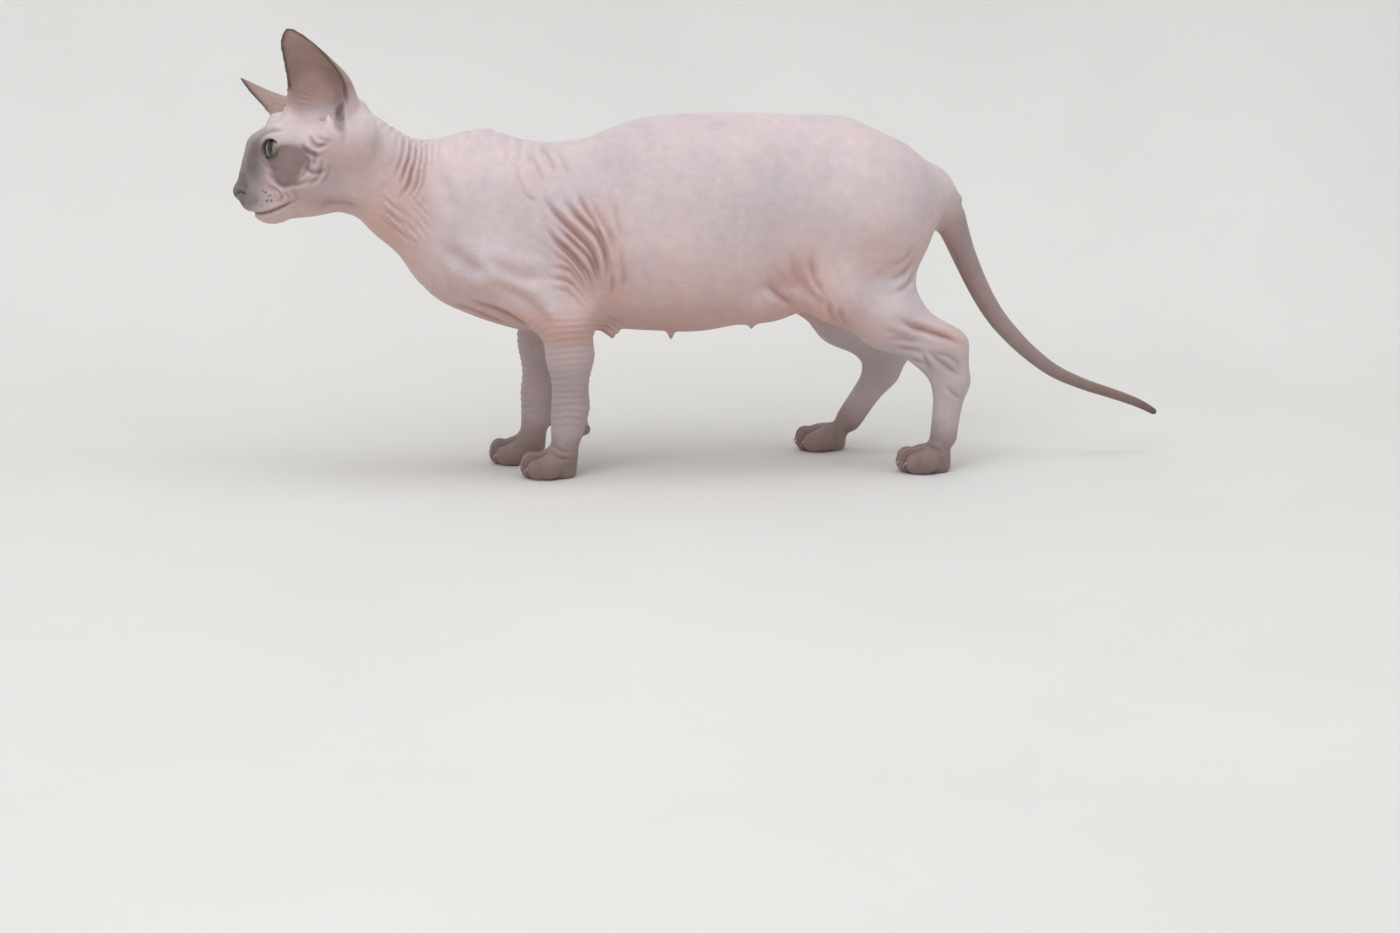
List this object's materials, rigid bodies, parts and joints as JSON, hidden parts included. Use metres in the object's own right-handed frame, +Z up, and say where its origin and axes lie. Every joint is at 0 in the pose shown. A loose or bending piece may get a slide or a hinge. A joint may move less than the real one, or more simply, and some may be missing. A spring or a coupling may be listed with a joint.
{
  "type": "hairless cat figure",
  "caption": "Life-size still figure of a slender hairless cat standing on four paws, with large cupped ears, wrinkled skin and a long tapering tail held low",
  "frame": {"origin": "middle of the bottom of the bounding box, on the floor under the belly", "axes": "+Z up, -X toward the nose, +X toward the tip of the tail, -Y toward the cat's left side"},
  "size_m": [0.6652, 0.1272, 0.3104],
  "materials": {
    "body_skin": "bare skin with the finest down, soft sheen",
    "face_skin": "bare skin with the finest down, soft sheen",
    "ear_skin": "bare skin with the finest down, soft sheen",
    "paw_skin": "bare skin with the finest down, soft sheen",
    "tail_skin": "bare skin with the finest down, soft sheen",
    "eye": "wet and glossy"
  },
  "bodies": {
    "root": {"ear_left": "ear_skin", "ear_right": "ear_skin", "head": "face_skin", "eye_left": "eye", "eye_right": "eye", "front_upper_leg_left": "body_skin", "front_lower_leg_left": "paw_skin", "front_upper_leg_right": "body_skin", "front_lower_leg_right": "paw_skin", "thigh_left": "body_skin", "shank_left": "body_skin", "hind_foot_left": "paw_skin", "thigh_right": "body_skin", "shank_right": "body_skin", "hind_foot_right": "paw_skin", "neck": "body_skin", "chest": "body_skin", "belly": "body_skin", "rump": "body_skin", "front_paw_left": "paw_skin", "front_paw_right": "paw_skin", "hind_paw_left": "paw_skin", "hind_paw_right": "paw_skin", "tail_1": "tail_skin", "tail_2": "tail_skin", "tail_3": "tail_skin", "tail_4": "tail_skin"}
  },
  "joints": []
}
